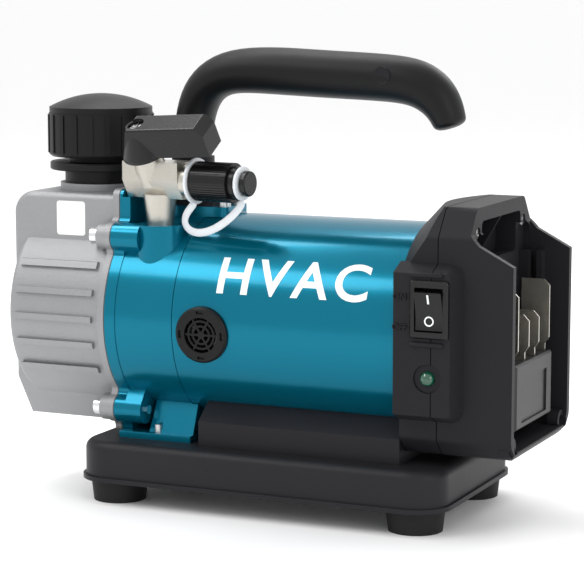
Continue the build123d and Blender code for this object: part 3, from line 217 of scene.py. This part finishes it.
def makeFinish(name, colour, rough, grain, depth, metal=0.0, coat=0.0, shine=0.5, swing=0.15, glow=0.0,
               pattern="noise"):
    finish = Finish(name)
    cloud = finish.noise(wear["cloudScale"], 4.0)
    if pattern == "cells":
        relief = finish.cells(grain) + finish.noise(grain * 0.4) * 0.5
    elif pattern == "brushed":
        relief = finish.noise(1.0, 4.0, place=finish.stretched((grain * 0.05, grain, grain)))
    elif pattern == "layers":
        across = finish.node("ShaderNodeSeparateXYZ", None, {0: finish.place}, "X")
        relief = (across * (grain * 2 * pi)).wave() * 0.5 + finish.noise(grain) * 0.3
    else:
        relief = finish.noise(grain, 4.0, 0.65) + finish.noise(grain * 0.25) * 0.4
    fine = finish.noise(grain * 0.6, 2.0)
    tone = cloud * 0.6 + fine * 0.4
    mixed = finish.mix(tone, shade(colour, 1 - swing), shade(colour, 1 + swing))
    finish.give(Base_Color=mixed, Metallic=metal)
    finish.give(Roughness=(cloud - 0.5) * wear["cloudRough"] + (fine - 0.5) * wear["fineRough"] + rough)
    finish.give(Coat_Weight=coat, Coat_Roughness=wear["coatRough"], Specular_IOR_Level=shine)
    if glow:
        finish.give(Subsurface_Weight=glow, Subsurface_Radius=(wear["glowReach"],) * 3)
    finish.bump(relief, wear["relief"], depth * mm)
    return finish.material


finishes = {name: makeFinish(name, **settings) for name, settings in finishSettings.items()}
for row in frame["record"]["subparts"]:
    node = frame["nodes"][row["node"]]
    for place in node.material_slots:
        place.material = finishes[row["material_slot"]]
print("finishes on", len(frame["nodes"]), "nodes")


def makePiece(bm, name, finish, body="pump", crease=40):
    mesh = bpy.data.meshes.new(name)
    bm.to_mesh(mesh)
    bm.free()
    mesh.polygons.foreach_set("use_smooth", [True] * len(mesh.polygons))
    mesh.set_sharp_from_angle(angle=radians(crease))
    mesh.materials.append(finishes[finish])
    piece = bpy.data.objects.new(name, mesh)
    bpy.context.collection.objects.link(piece)
    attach(piece, body)
    return piece


def addSubdivision(piece, levels):
    smoother = piece.modifiers.new("smooth", "SUBSURF")
    smoother.levels = levels
    smoother.render_levels = levels


def stand(bm, centre):
    # turns a flat piece drawn in XY to face the switch side and moves it to centre
    bmesh.ops.rotate(bm, cent=(0, 0, 0), matrix=Matrix.Rotation(pi / 2, 3, "X"), verts=bm.verts)
    bmesh.ops.translate(bm, vec=Vector(centre) * mm, verts=bm.verts)


def allOf(bm):
    return bm.verts[:] + bm.edges[:] + bm.faces[:]


def edgesOf(verts):
    return list({edge for vert in verts for edge in vert.link_edges})


def roundBlock(low, high, radius, segments=3):
    bm = bmesh.new()
    bmesh.ops.create_cube(bm, size=mm)
    middle = (Vector(low) + Vector(high)) / 2 * mm
    bmesh.ops.scale(bm, vec=Vector(high) - Vector(low), verts=bm.verts)
    bmesh.ops.translate(bm, vec=middle, verts=bm.verts)
    bmesh.ops.bevel(bm, geom=bm.edges[:], offset=radius * mm, offset_type="OFFSET", segments=segments,
                    profile=0.5, affect="EDGES", material=-1)
    return bm


handle = dict(
    # centre x, centre z, direction of the section's height, half height, half width
    sections=[
        (-52.2, 180.0, (-1, 0), 9.3, 12.6),
        (-52.2, 180.6, (-1, 0), 9.6, 12.9),
        (-51.8, 196.0, (-1, 0.03), 9.9, 13.1),
        (-48.4, 211.0, (-19, 9), 10.6, 13.5),
        (-40.6, 220.8, (-13.5, 17.7), 11.2, 13.8),
        (-27.6, 226.0, (-4.7, 22.5), 11.9, 14.0),
        (-6.0, 226.2, (0, 1), 12.5, 14.2),
        (12.0, 225.4, (0, 1), 12.5, 14.2),
        (30.0, 224.6, (0, 1), 12.4, 14.2),
        (60.0, 223.6, (1, 24), 12.3, 14.2),
        (76.0, 221.6, (8, 23), 12.4, 13.9),
        (85.8, 215.4, (14, 18), 11.4, 12.9),
        (90.8, 208.4, (16, 11), 9.8, 11.7),
        (93.0, 202.0, (15, 5), 8.6, 10.7),
    ],
    sides=24, endRound=3.6, endAngles=(25, 50, 72, 86), endPower=0.6,
    disc=(61.5, -13.2, 225.2), discRadius=4.4, discThick=2, discRim=0.7, discSink=0.35,
)


def placeRing(bm, sides, centre, heightDir, halfHeight, halfWidth):
    across = Vector((heightDir[0], 0, heightDir[1])).normalized()
    along = Vector((heightDir[1], 0, -heightDir[0])).normalized()
    columns = Matrix((across * halfHeight, Vector((0, 1, 0)) * halfWidth, along)).transposed()
    ring = bmesh.ops.create_circle(bm, cap_ends=False, segments=sides, radius=mm)["verts"]
    edges = edgesOf(ring)
    bmesh.ops.transform(bm, matrix=Matrix.Translation(centre * mm) @ columns.to_4x4(), verts=ring)
    return edges


def makeHandle():
    bm = bmesh.new()
    sections = []
    for x, z, direction, tall, wide in handle["sections"]:
        sections.append((Vector((x, 0, z)), direction, tall, wide))
    centre, direction, tall, wide = sections[-1]
    onwards = Vector((direction[1], 0, -direction[0])).normalized()
    for angle in handle["endAngles"]:          # the rounded end of the hook
        reach = handle["endRound"] * sin(radians(angle))
        narrow = cos(radians(angle)) ** handle["endPower"]
        sections.append((centre + onwards * reach, direction, tall * narrow, wide * narrow))
    rings = [placeRing(bm, handle["sides"], *section) for section in sections]
    for first, second in zip(rings, rings[1:]):
        bmesh.ops.bridge_loops(bm, edges=first + second)
    bmesh.ops.holes_fill(bm, edges=rings[0] + rings[-1], sides=0)
    bmesh.ops.recalc_face_normals(bm, faces=bm.faces)
    grip = makePiece(bm, "handle_grip", "grip_plastic", crease=180)
    addSubdivision(grip, 2)
    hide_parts("handle")


def makeHandleDisc():
    bm = bmesh.new()
    bmesh.ops.create_cone(bm, cap_ends=True, segments=48, radius1=handle["discRadius"] * mm,
                          radius2=handle["discRadius"] * mm, depth=handle["discThick"] * mm)
    caps = [face for face in bm.faces if len(face.verts) > 4]
    bmesh.ops.inset_region(bm, faces=caps, thickness=handle["discRim"] * mm, depth=-handle["discSink"] * mm)
    stand(bm, handle["disc"])
    makePiece(bm, "handle_disc", "black_plastic")


makeHandle()
makeHandleDisc()
print("handle made")


def textMesh(words, height, spacing=1.0, bold=0.0, thick=0.0):
    curve = bpy.data.curves.new(words, "FONT")
    curve.body = words
    curve.size = height * mm
    curve.align_x = "CENTER"
    curve.align_y = "CENTER"
    curve.space_character = spacing
    curve.offset = bold * mm
    curve.extrude = thick * mm
    curve.resolution_u = 6
    maker = bpy.data.objects.new(words, curve)
    bpy.context.collection.objects.link(maker)
    bpy.context.view_layer.update()
    shaped = maker.evaluated_get(bpy.context.evaluated_depsgraph_get())
    mesh = bpy.data.meshes.new_from_object(shaped)
    bm = bmesh.new()
    bm.from_mesh(mesh)
    bpy.data.objects.remove(maker)
    bpy.data.curves.remove(curve)
    bpy.data.meshes.remove(mesh)
    return bm


lettering = dict(words="HVAC", height=28, spacing=1.22, bold=0.5, middleX=27, middleAngle=29,
                 radius=54.07, slices=26)


def makeLettering():
    bm = textMesh(lettering["words"], lettering["height"], lettering["spacing"], lettering["bold"])
    half = lettering["height"] * mm / 2
    for i in range(1, lettering["slices"]):   # cuts that let the flat letters follow the tube
        level = -half + 2 * half * i / lettering["slices"]
        bmesh.ops.bisect_plane(bm, geom=allOf(bm), dist=1e-7, plane_co=(0, level, 0), plane_no=(0, 1, 0))
    radius = lettering["radius"] * mm
    for vert in bm.verts:
        angle = radians(lettering["middleAngle"]) + vert.co.y / radius
        vert.co = Vector((vert.co.x + lettering["middleX"] * mm, -radius * cos(angle),
                          axisZ * mm + radius * sin(angle)))
    makePiece(bm, "tube_lettering", "letter_white")


makeLettering()

surfaces = {}


def surfaceOf(node):
    if node not in surfaces:
        mesh = frame["nodes"][node].data
        corners = [vertex.co for vertex in mesh.vertices]
        surfaces[node] = BVHTree.FromPolygons(corners, [face.vertices for face in mesh.polygons])
    return surfaces[node]


def layOn(bm, node, direction, lift, startBack=40):
    # pushes every vertex along direction until it meets the node, then lifts it off by lift
    tree = surfaceOf(node)
    for vert in bm.verts:
        start = vert.co - direction * startBack * mm
        hit = tree.ray_cast(start, direction)[0]
        if hit is not None:
            vert.co = hit - direction * lift * mm


switchSide = dict(
    labels=[("ON", 88.9, 119.6), ("OFF", 88.9, 104.6)], panelY=-56.5,
    labelHeight=4.6, labelDepth=0.7, labelSpacing=0.95, labelBold=0.08,
    bars=[((93.2, -58.1, 129.8), (111.3, -55.9, 132.2)), ((94.0, -58.1, 95.5), (111.7, -55.9, 97.8))],
    barRadius=0.9,
    # the marks start in front of the rocker and are laid on it
    markOn=(104.5, -60, 119.4), markOff=(104.5, -60, 108.4), markLift=0.04,
    dashHalf=0.5, dashStretch=4.6, ringOuter=2.5, ringInner=1.8,
)


def makeLabels():
    for words, x, z in switchSide["labels"]:
        bm = textMesh(words, switchSide["labelHeight"], switchSide["labelSpacing"], switchSide["labelBold"],
                      thick=switchSide["labelDepth"])
        stand(bm, (x, switchSide["panelY"], z))
        makePiece(bm, "label_" + words.lower(), "black_plastic")
    for i, (low, high) in enumerate(switchSide["bars"]):
        bar = roundBlock(low, high, switchSide["barRadius"])
        makePiece(bar, f"switch_guard_{i}", "black_plastic")


def makeMarks():
    towards = Vector((0, 1, 0))
    bm = bmesh.new()
    bmesh.ops.create_grid(bm, x_segments=2, y_segments=6, size=switchSide["dashHalf"] * mm)
    bmesh.ops.scale(bm, vec=(1.0, switchSide["dashStretch"], 1.0), verts=bm.verts)
    stand(bm, switchSide["markOn"])
    layOn(bm, "switch_rocker", towards, switchSide["markLift"])
    makePiece(bm, "mark_on", "letter_white", "rocker")
    bm = bmesh.new()
    loops = []
    for radius in (switchSide["ringOuter"], switchSide["ringInner"]):
        circle = bmesh.ops.create_circle(bm, cap_ends=False, segments=40, radius=radius * mm)
        loops += edgesOf(circle["verts"])
    bmesh.ops.bridge_loops(bm, edges=loops)
    stand(bm, switchSide["markOff"])
    layOn(bm, "switch_rocker", towards, switchSide["markLift"])
    bmesh.ops.recalc_face_normals(bm, faces=bm.faces)
    makePiece(bm, "mark_off", "letter_white", "rocker")


makeLabels()
makeMarks()

partingLine = dict(startX=104.9, endX=105.45, middleX=105, lift=0.05)


def makePartingLine():
    # a thin dark band over the joint between the cover and the battery housing
    bm = bmesh.new()
    bm.from_mesh(frame["nodes"]["battery_housing"].data)
    bmesh.ops.remove_doubles(bm, verts=bm.verts, dist=1e-6)
    for x, side in ((partingLine["startX"], -1), (partingLine["endX"], 1)):
        bmesh.ops.bisect_plane(bm, geom=allOf(bm), dist=1e-7, plane_co=(x * mm, 0, 0),
                               plane_no=(side, 0, 0), clear_outer=True)
    flat = [face for face in bm.faces if abs(face.normal.x) > 0.5]
    bmesh.ops.delete(bm, geom=flat, context="FACES")
    # only the outside skin is kept: faces that point away from the motor's centre line
    centre = Vector((partingLine["middleX"], 0, axisZ)) * mm
    inner = [face for face in bm.faces if face.normal.dot(face.calc_center_median() - centre) < 0]
    bmesh.ops.delete(bm, geom=inner, context="FACES")
    bm.normal_update()
    for vert in bm.verts:
        vert.co += Vector((0, vert.normal.y, vert.normal.z)) * partingLine["lift"] * mm
    makePiece(bm, "parting_line", "groove_black")


makePartingLine()

fitting = dict(lowZ=151.5, highZ=162.5, lowRadius=7.6, highRadius=9.2, sides=8, edge=0.5)


def makeFittingRoot():
    # the faceted foot of the cast valve body, where it screws into the bracket
    bm = bmesh.new()
    tall = fitting["highZ"] - fitting["lowZ"]
    bmesh.ops.create_cone(bm, cap_ends=True, segments=fitting["sides"], radius1=fitting["lowRadius"] * mm,
                          radius2=fitting["highRadius"] * mm, depth=tall * mm)
    bmesh.ops.bevel(bm, geom=bm.edges[:], offset=fitting["edge"] * mm, offset_type="OFFSET", segments=2,
                    profile=0.5, affect="EDGES", material=-1)
    turn = Matrix.Rotation(pi / fitting["sides"] - radians(portYaw), 3, "Z")
    bmesh.ops.rotate(bm, cent=(0, 0, 0), matrix=turn, verts=bm.verts)
    middle = Vector((*portRoot, (fitting["lowZ"] + fitting["highZ"]) / 2))
    bmesh.ops.translate(bm, vec=middle * mm, verts=bm.verts)
    makePiece(bm, "fitting_root", "nickel_brass", crease=25)


makeFittingRoot()

strap = dict(
    # along the port axis, up from the axis
    path=[(22.6, -10.6), (18.6, -14.6), (15.6, -18.6), (15.2, -22.6), (17.8, -26.0), (23.4, -27.4),
          (30.4, -26.0), (37.8, -22.4), (44.6, -17.4), (49.6, -12.4), (51.6, -8.6)],
    width=4.6, thick=1.5, portZ=170,
    # start along the port axis, inside and outside radius
    rings=[(22.1, 9.7, 12.0), (50.5, 4.8, 8.8)], ringThick=1.6, ringEdge=0.4, sharpAngle=1.0,
)
yaw = radians(portYaw)
alongPort = Vector((cos(yaw), -sin(yaw), 0))
upward = Vector((0, 0, 1))
portStart = Vector((*portRoot, strap["portZ"]))


def thicken(bm, vec):
    raised = bmesh.ops.extrude_face_region(bm, geom=bm.faces[:])
    moved = [item for item in raised["geom"] if isinstance(item, bmesh.types.BMVert)]
    bmesh.ops.translate(bm, vec=vec, verts=moved)


def makeStrapBand():
    front = Vector((-sin(yaw), -cos(yaw), 0))
    bm = bmesh.new()
    path = [Vector(point) for point in strap["path"]]
    rows = []
    for i, point in enumerate(path):
        ahead = (path[min(i + 1, len(path) - 1)] - path[max(i - 1, 0)]).normalized()
        side = Vector((-ahead.y, ahead.x)) * strap["width"] / 2
        row = []
        for sign in (-1, 1):
            spot = point + side * sign
            place = portStart + alongPort * spot.x + upward * spot.y - front * strap["thick"] / 2
            row.append(bm.verts.new(place * mm))
        rows.append(row)
    for (a, b), (c, d) in zip(rows, rows[1:]):
        bm.faces.new((a, b, d, c))
    thicken(bm, front * strap["thick"] * mm)
    bmesh.ops.recalc_face_normals(bm, faces=bm.faces)
    band = makePiece(bm, "strap_band", "strap_plastic", "strap", crease=180)
    addSubdivision(band, 3)
    return band


def makeStrapRings():
    turn = Matrix((alongPort.cross(upward), upward, alongPort)).transposed().to_4x4()
    for i, (start, inside, outside) in enumerate(strap["rings"]):
        bm = bmesh.new()
        loops = []
        for radius in (inside, outside):
            circle = bmesh.ops.create_circle(bm, cap_ends=False, segments=64, radius=radius * mm)
            loops += edgesOf(circle["verts"])
        bmesh.ops.bridge_loops(bm, edges=loops)
        thicken(bm, (0, 0, strap["ringThick"] * mm))
        rims = []
        for edge in bm.edges:
            if len(edge.link_faces) == 2 and edge.calc_face_angle(0) > strap["sharpAngle"]:
                rims.append(edge)
        bmesh.ops.bevel(bm, geom=rims, offset=strap["ringEdge"] * mm, offset_type="OFFSET", segments=2,
                        profile=0.5, affect="EDGES", material=-1)
        place = Matrix.Translation((portStart + alongPort * start) * mm)
        bmesh.ops.transform(bm, matrix=place @ turn, verts=bm.verts)
        bmesh.ops.recalc_face_normals(bm, faces=bm.faces)
        makePiece(bm, f"strap_ring_{i}", "strap_plastic", "strap")


strapBand = makeStrapBand()
makeStrapRings()
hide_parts("cap_strap")

sticker = dict(low=(-116.5, 138.4), high=(-99.3, 156.6), corner=1.6, sideY=-34.5, thick=0.12, sunk=0.4)


def makeSticker():
    x0, z0 = sticker["low"]
    x1, z1 = sticker["high"]
    bm = bmesh.new()
    bmesh.ops.create_cube(bm, size=mm)
    bmesh.ops.scale(bm, vec=(x1 - x0, sticker["thick"] + sticker["sunk"], z1 - z0), verts=bm.verts)
    middleY = sticker["sideY"] - sticker["thick"] / 2 + sticker["sunk"] / 2
    middle = Vector(((x0 + x1) / 2, middleY, (z0 + z1) / 2))
    bmesh.ops.translate(bm, vec=middle * mm, verts=bm.verts)
    corners = [edge for edge in bm.edges if abs((edge.verts[0].co - edge.verts[1].co).y) > 1e-5]
    bmesh.ops.bevel(bm, geom=corners, offset=sticker["corner"] * mm, offset_type="OFFSET", segments=6,
                    profile=0.5, affect="EDGES", material=-1)
    makePiece(bm, "side_sticker", "sticker_white")


makeSticker()
print("labels made")


# each lamp has its name, place, width, height, watts and what it points at, with lengths in metres
studio = dict(
    lamps=[
        ("key", (-0.9, -1.0, 1.5), 0.8, 0.5, 7, (0, 0, 0.12)),
        ("fill", (1.5, -0.6, 0.7), 0.8, 0.8, 4, (0, 0, 0.12)),
        ("top", (-0.55, 0.27, 1.35), 1.7, 0.20, 10, (0, -0.02, 0.14)),
        ("rim", (0.2, 1.5, 1.1), 0.8, 0.8, 6, (0, 0, 0.12)),
    ],
    floorSize=60, floorColour=(0.97, 0.97, 0.97, 1), floorRough=0.7, worldStrength=1.0,
    camera=(0.4759, -1.0433, 0.2711), turn=(81.98, 0.0, 24.264), lens=134.9, sensor=36, clipEnd=200,
)


def makeLamp(name, place, wide, tall, watts, target):
    data = bpy.data.lights.new(name, "AREA")
    data.energy = watts
    data.shape = "RECTANGLE"
    data.size = wide
    data.size_y = tall
    lamp = bpy.data.objects.new(name, data)
    bpy.context.collection.objects.link(lamp)
    lamp.location = place
    lamp.rotation_euler = (Vector(target) - Vector(place)).to_track_quat("-Z", "Y").to_euler()


def makeFloor():
    bm = bmesh.new()
    bmesh.ops.create_grid(bm, x_segments=1, y_segments=1, size=studio["floorSize"])
    mesh = bpy.data.meshes.new("floor")
    bm.to_mesh(mesh)
    bm.free()
    floor = bpy.data.objects.new("floor", mesh)
    bpy.context.collection.objects.link(floor)
    pale = Finish("floor_pale")
    pale.give(Base_Color=studio["floorColour"], Roughness=studio["floorRough"])
    mesh.materials.append(pale.material)


def makeWorld():
    world = bpy.data.worlds.new("studio")
    bpy.context.scene.world = world
    world.use_nodes = True
    sockets = world.node_tree.nodes["Background"].inputs
    sockets["Color"].default_value = (1, 1, 1, 1)
    sockets["Strength"].default_value = studio["worldStrength"]


def makeCamera():
    data = bpy.data.cameras.new("camera")
    data.lens = studio["lens"]
    data.sensor_width = studio["sensor"]
    data.clip_end = studio["clipEnd"]
    camera = bpy.data.objects.new("camera", data)
    bpy.context.collection.objects.link(camera)
    camera.location = studio["camera"]
    camera.rotation_euler = [radians(angle) for angle in studio["turn"]]
    bpy.context.scene.camera = camera


makeFloor()
for lamp in studio["lamps"]:
    makeLamp(*lamp)
makeWorld()
makeCamera()
bpy.context.scene.view_settings.view_transform = "Standard"
print("studio made")
